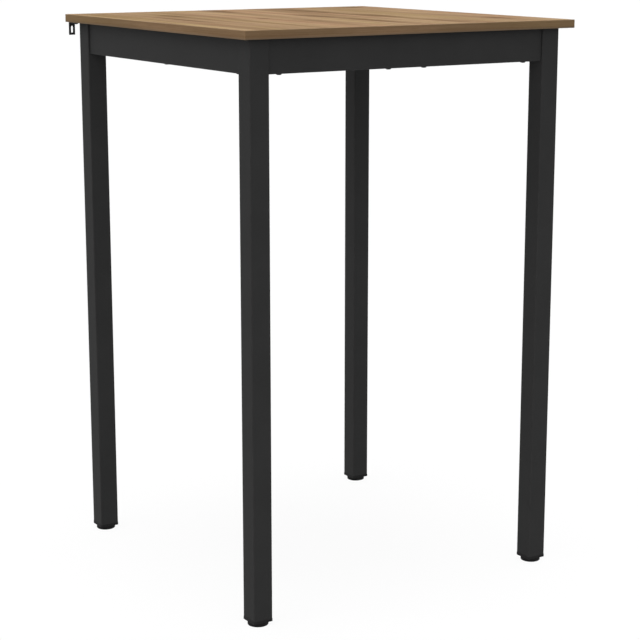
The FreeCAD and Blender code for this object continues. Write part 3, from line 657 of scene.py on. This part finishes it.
def thread_rings(outer, cut, pitch, low, high):
    """Rings of a right-hand thread between two heights, with the thread run out at both ends."""
    count = max(2, round((high - low) / pitch * THREAD_ROWS))
    rings = []
    for number in range(count + 1):
        height = low + (high - low) * number / count
        depth = min(1, (height - low) / pitch, (high - height) / pitch)
        rings.append((thread(outer, cut, pitch, height, depth), height))
    return rings


def turned(name, rings, angles, closed_loop=False):
    """A closed shape round the Z axis through rings of a radius, or a radius by angle, and a height."""
    shape = bmesh.new()
    loops = []
    for radius, height in rings:
        if radius == 0:
            loops.append([shape.verts.new((0, 0, height))])
            continue
        reaches = [radius(angle) if callable(radius) else radius for angle in angles]
        loops.append([shape.verts.new((reach * math.cos(angle), reach * math.sin(angle), height))
                      for reach, angle in zip(reaches, angles)])
    pairs = list(zip(loops, loops[1:]))
    if closed_loop:
        pairs.append((loops[-1], loops[0]))
    for lower, upper in pairs:
        for number in range(len(angles)):
            following = (number + 1) % len(angles)
            if len(lower) == 1:
                corners = [lower[0], upper[following], upper[number]]
            elif len(upper) == 1:
                corners = [lower[number], lower[following], upper[0]]
            else:
                corners = [lower[number], lower[following], upper[following], upper[number]]
            shape.faces.new(corners)
    bmesh.ops.remove_doubles(shape, verts=shape.verts, dist=JOIN_OWN)
    bmesh.ops.recalc_face_normals(shape, faces=shape.faces)
    mesh = bpy.data.meshes.new(name)
    shape.to_mesh(mesh)
    shape.free()
    return smoothed(mesh)


def smoothed(mesh):
    """The same mesh with smooth shading and sharp edges."""
    mesh.shade_smooth()
    mesh.set_sharp_from_angle(angle=SHARP)
    return mesh


def screw(name, head_wide, head_high, recess, recess_deep, shank_rings, angles):
    """A screw with its domed head down and its seat at height 0: its recess, dome and shank."""
    rim = head_wide / 2
    land = recess(HEXAGON_CORNER) * LAND_SHARE
    lip = head_high * LIP_SHARE
    bottom = recess_deep - head_high
    rings = [(0, bottom + DRILL_POINT), (recess, bottom), (recess, HEAD_EDGE - head_high), (land, -head_high)]
    for number in range(1, DOME_STEPS + 1):
        turn = math.pi / 2 * number / DOME_STEPS
        full = math.sin(turn) ** DOME_POWER
        rings.append((land + (rim - land) * full, -lip - (head_high - lip) * math.cos(turn)))
    rings += [(rim, -HEAD_EDGE), (rim - HEAD_EDGE, 0)]
    return turned(name, rings + shank_rings, angles)


def shank(radius, cut, pitch, plain, long, tip, point):
    """Rings of a screw's shank over its seat: a plain part, the thread and a tip that narrows."""
    root = radius - cut
    low = plain + cut
    high = long - tip
    return [(radius, 0), (radius, plain), (root, low),
            *thread_rings(radius, cut, pitch, low + cut / 4, high - cut / 4),
            (root, high), (point, long), (0, long)]


def moved(mesh, x, y, z=0.0):
    """The same mesh at another place."""
    mesh.transform(Matrix.Translation((x, y, z)))
    return mesh


def eased_copy(node, width):
    """A merged copy of a CAD node with its edges eased."""
    shape = bmesh.new()
    shape.from_mesh(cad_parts[node].data)
    bmesh.ops.remove_doubles(shape, verts=shape.verts, dist=JOIN_CAD)
    bmesh.ops.dissolve_limit(shape, angle_limit=FLAT, verts=shape.verts, edges=shape.edges)
    mesh = bpy.data.meshes.new(node + "_eased")
    shape.to_mesh(mesh)
    shape.free()
    rough = bpy.data.objects.new(node + "_rough", mesh)
    bpy.context.scene.collection.objects.link(rough)
    bevel = rough.modifiers.new("Ease", "BEVEL")
    bevel.width = width
    bevel.segments = 2
    bevel.limit_method = "ANGLE"
    bevel.angle_limit = EASED
    bevel.use_clamp_overlap = True
    return smoothed(applied(rough))


def applied(piece):
    """The plain mesh that a piece with modifiers ends up as. The piece itself is removed."""
    bpy.context.view_layer.update()
    evaluated = piece.evaluated_get(bpy.context.evaluated_depsgraph_get())
    mesh = bpy.data.meshes.new_from_object(evaluated)
    bpy.data.objects.remove(piece)
    return mesh


def copies_tree():
    """Geometry nodes that set a piece at every point, each turned by chance, as one plain mesh."""
    tree = bpy.data.node_groups.get("Set copies")
    if tree:
        return tree
    tree = bpy.data.node_groups.new("Set copies", "GeometryNodeTree")
    tree.interface.new_socket("Points", in_out="INPUT", socket_type="NodeSocketGeometry")
    for label, kind in (("Piece", "Object"), ("Most turn", "Float"), ("Seed", "Int"), ("Finish", "Material")):
        tree.interface.new_socket(label, in_out="INPUT", socket_type="NodeSocket" + kind)
    tree.interface.new_socket("Copies", in_out="OUTPUT", socket_type="NodeSocketGeometry")
    start = tree.nodes.new("NodeGroupInput")
    end = tree.nodes.new("NodeGroupOutput")
    piece = tree.nodes.new("GeometryNodeObjectInfo")
    chance = tree.nodes.new("FunctionNodeRandomValue")
    turn = tree.nodes.new("ShaderNodeCombineXYZ")
    setting = tree.nodes.new("GeometryNodeInstanceOnPoints")
    real = tree.nodes.new("GeometryNodeRealizeInstances")
    finish = tree.nodes.new("GeometryNodeSetMaterial")
    chance.data_type = "FLOAT"
    biggest, random_value = [
        [socket for socket in sockets if socket.enabled and socket.name == label][0]
        for sockets, label in ((chance.inputs, "Max"), (chance.outputs, "Value"))]
    for source, target in (
            (start.outputs["Points"], setting.inputs["Points"]),
            (start.outputs["Piece"], piece.inputs["Object"]),
            (start.outputs["Most turn"], biggest),
            (start.outputs["Seed"], chance.inputs["Seed"]),
            (random_value, turn.inputs["Z"]),
            (turn.outputs["Vector"], setting.inputs["Rotation"]),
            (piece.outputs["Geometry"], setting.inputs["Instance"]),
            (setting.outputs["Instances"], real.inputs["Geometry"]),
            (real.outputs["Geometry"], finish.inputs["Geometry"]),
            (start.outputs["Finish"], finish.inputs["Material"]),
            (finish.outputs["Geometry"], end.inputs["Copies"])):
        tree.links.new(source, target)
    return tree


def set_copies(name, mesh, places, finish, slot, *nodes, seed=None):
    """Set a copy of a mesh at each place, turned by chance if there is a seed, as one piece of the frame."""
    pattern = bpy.data.objects.new(name + "_pattern", mesh)
    points = bpy.data.meshes.new(name + "_points")
    points.from_pydata(places, [], [])
    holder = bpy.data.objects.new(name + "_holder", points)
    bpy.context.scene.collection.objects.link(pattern)
    bpy.context.scene.collection.objects.link(holder)
    tree = copies_tree()
    modifier = holder.modifiers.new("Copies", "NODES")
    modifier.node_group = tree
    most_turn = 0.0 if seed is None else WHOLE_TURN
    wanted = {"Piece": pattern, "Most turn": most_turn, "Seed": seed or 0, "Finish": finish}
    for item in tree.interface.items_tree:
        if item.in_out == "INPUT" and item.name in wanted:
            modifier[item.identifier] = wanted[item.name]
    result = applied(holder)
    bpy.data.objects.remove(pattern)
    if not result.polygons:
        raise RuntimeError("no copies were made for " + name)
    result.name = name
    stand_in(name, result, finish, "frame", slot, *nodes)


def stand_in(name, mesh, material, body, slot, *nodes):
    """Put a finished mesh in the scene as the piece that stands for some CAD nodes."""
    mesh.materials.clear()
    mesh.materials.append(material)
    piece = bpy.data.objects.new(name, mesh)
    bpy.context.scene.collection.objects.link(piece)
    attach(piece, body)
    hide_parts(*nodes)


def mirrored_places(across, back, height):
    """The four places that lie so far to each side of the middle and so far to its front and back."""
    return [(across * x, back * y, height) for x, y in ((-1, -1), (1, -1), (1, 1), (-1, 1))]


# Operators: one for each group of pieces


class DressTop(bpy.types.Operator):
    """Gives the laminate top its oak decor, and the board and the backing sheet their finishes"""
    bl_idname = "bar_table.dress_top"
    bl_label = "Dress the top"

    def execute(self, context):
        looks = context.scene.bar_table_oak
        coat_nodes(one_material("oak_decor", oak, 1, 0, planks=PLANKS, streaks=STREAKS), "decor_sheet")
        coat_nodes(one_material("particle_board", pressed_board), "tabletop_core")
        coat_nodes(one_material("backing_laminate", backing_laminate), "backing_sheet")
        # The front and back bands get deeper painted shade than the left and right ones
        coat_nodes(one_material("oak_band_across", oak, 0, 2, shade=looks.front_painted_shade, band=True),
                   "edge_band_front", "edge_band_back")
        coat_nodes(one_material("oak_band_along", oak, 1, 2, shade=looks.side_painted_shade, band=True),
                   "edge_band_left", "edge_band_right")
        return {"FINISHED"}


class DressFrame(bpy.types.Operator):
    """Gives the steel frame its powder coat and the leg caps their plastic"""
    bl_idname = "bar_table.dress_frame"
    bl_label = "Dress the frame"

    def execute(self, context):
        looks = context.scene.bar_table_coat
        caps = ["leg_cap_" + corner for corner in CORNERS]
        tubes = [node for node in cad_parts
                 if node.startswith(("leg_", "apron_", "spigot_")) and node not in caps]
        coat_nodes(one_material("black_powder_coat", powder_coat), *tubes)
        coat_nodes(one_material("black_plastic", moulded_plastic, looks.plastic), *caps)
        return {"FINISHED"}


class MakeScrews(bpy.types.Operator):
    """Makes the domed corner bolts and the long top screws under the aprons"""
    bl_idname = "bar_table.make_screws"
    bl_label = "Make the screws"

    def execute(self, context):
        sizes = context.scene.bar_table_screws
        radius = sizes.shank_wide / 2
        long = BOLTS_HIGH.z - APRON_UNDERSIDE
        tip = sizes.bolt_cut * 2
        rings = shank(radius, sizes.bolt_cut, sizes.bolt_pitch, sizes.bolt_cut, long, tip, radius - tip)
        along = LEG_LOW.x - sizes.bolt_back
        places = [*mirrored_places(along, LEG_CENTRE, APRON_UNDERSIDE),
                  *mirrored_places(LEG_CENTRE, along, APRON_UNDERSIDE)]
        self.set_screws("corner_bolts", sizes, rings, places, sizes.seed)
        long = TOP_SCREWS_HIGH.z - APRON_UNDERSIDE
        rings = shank(radius, sizes.wood_cut, sizes.wood_pitch, long - sizes.wood_long, long, sizes.wood_tip,
                      radius * POINT_SHARE)
        places = [*mirrored_places(sizes.wood_apart, LEG_CENTRE, APRON_UNDERSIDE),
                  (-LEG_CENTRE, 0, APRON_UNDERSIDE), (LEG_CENTRE, 0, APRON_UNDERSIDE)]
        self.set_screws("top_screws", sizes, rings, places, sizes.seed + 1)
        return {"FINISHED"}

    def set_screws(self, node, sizes, rings, places, seed):
        """Set domed screws with hexagon sockets at their places, instead of a CAD node."""
        finish = one_material("black_screws", black_finish)
        mesh = screw(node + "_one", sizes.head_wide, sizes.head_high, hexagon(sizes.socket_across),
                     sizes.socket_deep, rings, round_angles(FINE))
        set_copies(node + "_domed", mesh, places, finish, "black_screws", node, seed=seed)


class MakeEndPlugs(bpy.types.Operator):
    """Makes the end plugs with eased edges, and the chamfered nuts that they hold"""
    bl_idname = "bar_table.make_end_plugs"
    bl_label = "Make the end plugs and nuts"

    def execute(self, context):
        sizes = context.scene.bar_table_feet
        looks = context.scene.bar_table_coat
        plastic = one_material("black_plastic", moulded_plastic, looks.plastic)
        plug = moved(eased_copy("end_plug_front_right", sizes.plug_ease), -LEG_CENTRE, LEG_CENTRE)
        places = mirrored_places(LEG_CENTRE, LEG_CENTRE, 0)
        set_copies("end_plugs_eased", plug, places, plastic, "black_plastic",
                   *["end_plug_" + corner for corner in CORNERS])
        zinc = one_material("zinc_plated_steel", zinc_plate)
        places = mirrored_places(LEG_CENTRE, LEG_CENTRE, NUT_LOW.z)
        set_copies("foot_nuts_chamfered", self.nut(sizes), places, zinc, "zinc_plated_steel",
                   *["foot_nut_" + corner for corner in CORNERS])
        return {"FINISHED"}

    def nut(self, sizes):
        """A hexagon nut whose corners fall away towards both faces."""
        across = NUT_HIGH.y - NUT_LOW.y
        high = NUT_HIGH.z - NUT_LOW.z
        bore = sizes.nut_bore / 2
        mouth = bore + sizes.nut_ease
        face = across / 2 * FACE_SHARE
        lower = [(trimmed(hexagon(across), face + across * wider), high * higher)
                 for wider, higher in SLOPE_SHARES]
        upper = [(side, high - height) for side, height in reversed(lower)]
        rings = [(mouth, 0), (face, 0), *lower, *upper, (face, high), (mouth, high),
                 (bore, high - sizes.nut_ease), (bore, sizes.nut_ease)]
        return turned("foot_nut", rings, round_angles(FINE * 2), closed_loop=True)


class MakeFeet(bpy.types.Operator):
    """Makes the threaded foot stems and the round foot pads"""
    bl_idname = "bar_table.make_feet"
    bl_label = "Make the feet"

    def execute(self, context):
        sizes = context.scene.bar_table_feet
        zinc = one_material("zinc_plated_steel", zinc_plate)
        looks = context.scene.bar_table_coat
        plastic = one_material("black_pad_plastic", moulded_plastic, looks.pad)
        for corner, (x, y, z) in zip(CORNERS, mirrored_places(LEG_CENTRE, LEG_CENTRE, 0)):
            stem = turned("stem_" + corner, self.stem_rings(sizes), round_angles(FINE))
            stand_in("foot_stem_threaded_" + corner, moved(stem, x, y, z), zinc, "stem_" + corner,
                     "zinc_plated_steel", "foot_stem_" + corner)
            pad = turned("pad_" + corner, self.pad_rings(sizes), round_angles(SMOOTH), closed_loop=True)
            stand_in("foot_pad_rounded_" + corner, moved(pad, x, y, z), plastic, "pad_" + corner,
                     "black_plastic", "foot_pad_" + corner)
        return {"FINISHED"}

    def stem_rings(self, sizes):
        """The stem from the key's socket, round its button and up its thread."""
        key = hexagon(sizes.key_across)
        button = (STEM_HIGH.x - STEM_LOW.x) / 2
        low = STEM_LOW.z
        button_top = low + sizes.button_high
        ease = sizes.button_high / 6
        edge = ((ease, 0), (ease / 4, ease / 3), (0, ease))
        outer = sizes.stem_wide / 2
        root = outer - sizes.cut
        start = button_top + sizes.neck + sizes.cut
        end = STEM_HIGH.z - sizes.cut
        return [(0, low + sizes.key_deep + ease), (key, low + sizes.key_deep), (key, low + ease),
                (key(HEXAGON_CORNER) + ease / 2, low),
                *((button - inward, low + upward) for inward, upward in edge),
                *((button - inward, button_top - downward) for inward, downward in reversed(edge)),
                (outer, button_top), (outer, button_top + sizes.neck), (root, start),
                *thread_rings(outer, sizes.cut, sizes.pitch, start + sizes.cut / 6, end - sizes.cut / 6),
                (root, end), (root - sizes.cut, STEM_HIGH.z), (0, STEM_HIGH.z)]

    def pad_rings(self, sizes):
        """The pad from the key's eye, round its rim and crown, and back round the pocket for the button."""
        pad = (PAD_HIGH.x - PAD_LOW.x) / 2
        tall = PAD_HIGH.z
        rim = sizes.rim
        crown = sizes.crown
        eye = sizes.eye / 2
        eye_edge = crown / 3
        pocket = (STEM_HIGH.x - STEM_LOW.x) / 2 + sizes.slip
        pocket_low = STEM_LOW.z - sizes.slip
        pocket_top = STEM_LOW.z + sizes.button_high + sizes.slip
        neck = sizes.stem_wide / 2 + sizes.slip
        return [(eye, eye_edge), (eye + eye_edge, 0), (pad - rim - sizes.slip, 0),
                *((pad - rim * inward, rim * upward) for inward, upward in RIM_SHARES),
                *((pad - crown * inward, tall - crown * downward) for inward, downward in CROWN_SHARES),
                (pocket, tall), (neck + eye_edge, tall), (neck, tall - eye_edge), (neck, pocket_top),
                (pocket, pocket_top), (pocket, pocket_low), (eye, pocket_low)]


class MakeWallTabs(bpy.types.Operator):
    """Makes the two slotted wall tabs with eased edges, and their cross-recess screws"""
    bl_idname = "bar_table.make_wall_tabs"
    bl_label = "Make the wall tabs"

    def execute(self, context):
        sizes = context.scene.bar_table_tabs
        coat = one_material("black_powder_coat", powder_coat)
        for side in ("left", "right"):
            tab = eased_copy("wall_tab_" + side, sizes.ease)
            stand_in("wall_tab_eased_" + side, tab, coat, "frame", "black_powder_coat", "wall_tab_" + side)
        finish = one_material("black_screws", black_finish)
        seat = TOP_UNDERSIDE - sizes.thick
        radius = sizes.shank_wide / 2
        rings = shank(radius, sizes.cut, sizes.pitch, sizes.neck, TAB_SCREWS_HIGH.z - seat, sizes.tip,
                      radius * POINT_SHARE)
        # Points also at the outer corners of the cross
        corner = math.atan2(sizes.cross_wide, sizes.cross_long)
        angles = sorted(round_angles(FINE) + [
            quarter * math.pi / 2 + side * corner for quarter in range(4) for side in (-1, 1)])
        recess = cross(sizes.cross_long, sizes.cross_wide)
        tab_screw = screw("tab_screw", sizes.head_wide, seat - TAB_SCREWS_LOW.z, recess, sizes.cross_deep,
                          rings, angles)
        rim = sizes.head_wide / 2
        across = TAB_SCREWS_HIGH.x - rim
        places = [(across * side, row, seat) for side in (-1, 1)
                  for row in (TAB_SCREWS_HIGH.y - rim, TAB_SCREWS_LOW.y + rim)]
        seed = context.scene.bar_table_screws.seed + 2
        set_copies("tab_screws_crossed", tab_screw, places, finish, "black_screws", "tab_screws", seed=seed)
        return {"FINISHED"}


class SetStage(bpy.types.Operator):
    """Sets the white floor, the soft lamps and the camera"""
    bl_idname = "bar_table.set_stage"
    bl_label = "Set the stage"

    def execute(self, context):
        looks = context.scene.bar_table_stage
        self.set_world(context, looks)
        self.set_floor(context, looks)
        self.set_lamp(context, "overhead_lamp", looks.overhead, *OVERHEAD)
        self.set_lamp(context, "left_lamp", looks.side, *LEFT)
        self.set_lamp(context, "front_lamp", looks.front, *IN_FRONT)
        camera = bpy.data.cameras.new("camera")
        camera.lens = looks.lens
        camera.clip_end = SIGHT
        holder = bpy.data.objects.new("camera", camera)
        holder.location = looks.place
        holder.rotation_euler = (math.pi / 2 - looks.tilt, 0, -looks.heading)
        context.scene.collection.objects.link(holder)
        context.scene.camera = holder
        context.scene.view_settings.view_transform = "Standard"
        return {"FINISHED"}

    def set_lamp(self, context, name, share, direction, wide):
        """A soft lamp so many degrees wide. At a share of 1 it lights a white face that it meets fully."""
        lamp = bpy.data.lights.new(name, "SUN")
        lamp.energy = math.pi * share
        lamp.angle = math.radians(wide)
        holder = bpy.data.objects.new(name, lamp)
        holder.rotation_euler = Vector(direction).to_track_quat("Z", "Y").to_euler()
        context.scene.collection.objects.link(holder)

    def seen(self, mix):
        """1 for a ray that shows the background or its reflection, and 0 for one that gathers light."""
        path = mix.node("ShaderNodeLightPath")
        return path["Is Camera Ray"].math("MAXIMUM", path["Is Glossy Ray"]).math(
            "MAXIMUM", path["Is Transmission Ray"])

    def set_world(self, context, looks):
        """White where it is seen, and a soft even light from all round."""
        world = bpy.data.worlds.new("studio")
        mix = Recipe(world)
        strength = self.seen(mix) * (1 - looks.sky) + looks.sky
        light = mix.node("ShaderNodeBackground", None, {"Color": (1, 1, 1), "Strength": strength})
        mix.node("ShaderNodeOutputWorld", None, {"Surface": light["Background"]})
        context.scene.world = world

    def set_floor(self, context, looks):
        """A wide floor that shows the world's white, keeps the table's shadow and is clear from below."""
        mesh = bpy.data.meshes.new("floor")
        mesh.from_pydata(mirrored_places(FLOOR_REACH, FLOOR_REACH, 0), [], [(0, 1, 2, 3)])
        mesh.materials.append(one_material("floor", self.floor_material, looks))
        floor = bpy.data.objects.new("floor", mesh)
        context.scene.collection.objects.link(floor)

    def floor_material(self, mix, looks):
        """White and a soft shadow where the floor is seen, and grey where it gives light back."""
        shadowed = mix.node("ShaderNodeBsdfDiffuse", None, {
            "Color": (looks.shadow * FLOOR_SHARE,) * 3})["BSDF"]
        passed = mix.node("ShaderNodeBsdfTransparent", None, {"Color": (1 - looks.shadow,) * 3})["BSDF"]
        white = mix.node("ShaderNodeAddShader", None, {0: shadowed, 1: passed})["Shader"]
        grey = mix.node("ShaderNodeBsdfDiffuse", None, {"Color": (looks.bounce,) * 3})["BSDF"]
        upper = mix.node("ShaderNodeMixShader", None, {0: self.seen(mix), 1: grey, 2: white})["Shader"]
        clear = mix.node("ShaderNodeBsdfTransparent")["BSDF"]
        under = mix.node("ShaderNodeNewGeometry")["Backfacing"]
        both = mix.node("ShaderNodeMixShader", None, {0: under, 1: upper, 2: clear})["Shader"]
        mix.node("ShaderNodeOutputMaterial", None, {"Surface": both})


class BarTablePanel(bpy.types.Panel):
    """Lists the looks and the steps of the bar table"""
    bl_idname = "VIEW3D_PT_bar_table"
    bl_label = "Bar table"
    bl_space_type = "VIEW_3D"
    bl_region_type = "UI"
    bl_category = "Bar table"

    def draw(self, context):
        for label, (key, group) in LOOKS.items():
            box = self.layout.box()
            box.label(text=label)
            for name in group.__annotations__:
                box.prop(getattr(context.scene, key), name)
        for operator in OPERATORS:
            self.layout.operator(operator.bl_idname)


LOOKS = {
    "Oak": ("bar_table_oak", OakLooks),
    "Board and backing": ("bar_table_board", BoardLooks),
    "Frame and fittings": ("bar_table_coat", CoatLooks),
    "Screws": ("bar_table_screws", ScrewSizes),
    "Feet": ("bar_table_feet", FootSizes),
    "Wall tabs": ("bar_table_tabs", TabSizes),
    "Stage": ("bar_table_stage", StageLooks),
}
OPERATORS = (DressTop, DressFrame, MakeScrews, MakeEndPlugs, MakeFeet, MakeWallTabs, SetStage)


def register():
    """Add the properties, the operators and the panel."""
    for key, group in LOOKS.values():
        bpy.utils.register_class(group)
        setattr(bpy.types.Scene, key, bpy.props.PointerProperty(type=group))
    for operator in OPERATORS:
        bpy.utils.register_class(operator)
    bpy.utils.register_class(BarTablePanel)


def unregister():
    """Take the panel, the operators and the properties away again."""
    bpy.utils.unregister_class(BarTablePanel)
    for operator in reversed(OPERATORS):
        bpy.utils.unregister_class(operator)
    for key, group in reversed(LOOKS.values()):
        delattr(bpy.types.Scene, key)
        bpy.utils.unregister_class(group)


def main():
    """Finish the bar table."""
    register()
    bpy.ops.bar_table.dress_top()
    bpy.ops.bar_table.dress_frame()
    bpy.ops.bar_table.make_screws()
    bpy.ops.bar_table.make_end_plugs()
    bpy.ops.bar_table.make_feet()
    bpy.ops.bar_table.make_wall_tabs()
    bpy.ops.bar_table.set_stage()


if __name__ == "__main__":
    main()
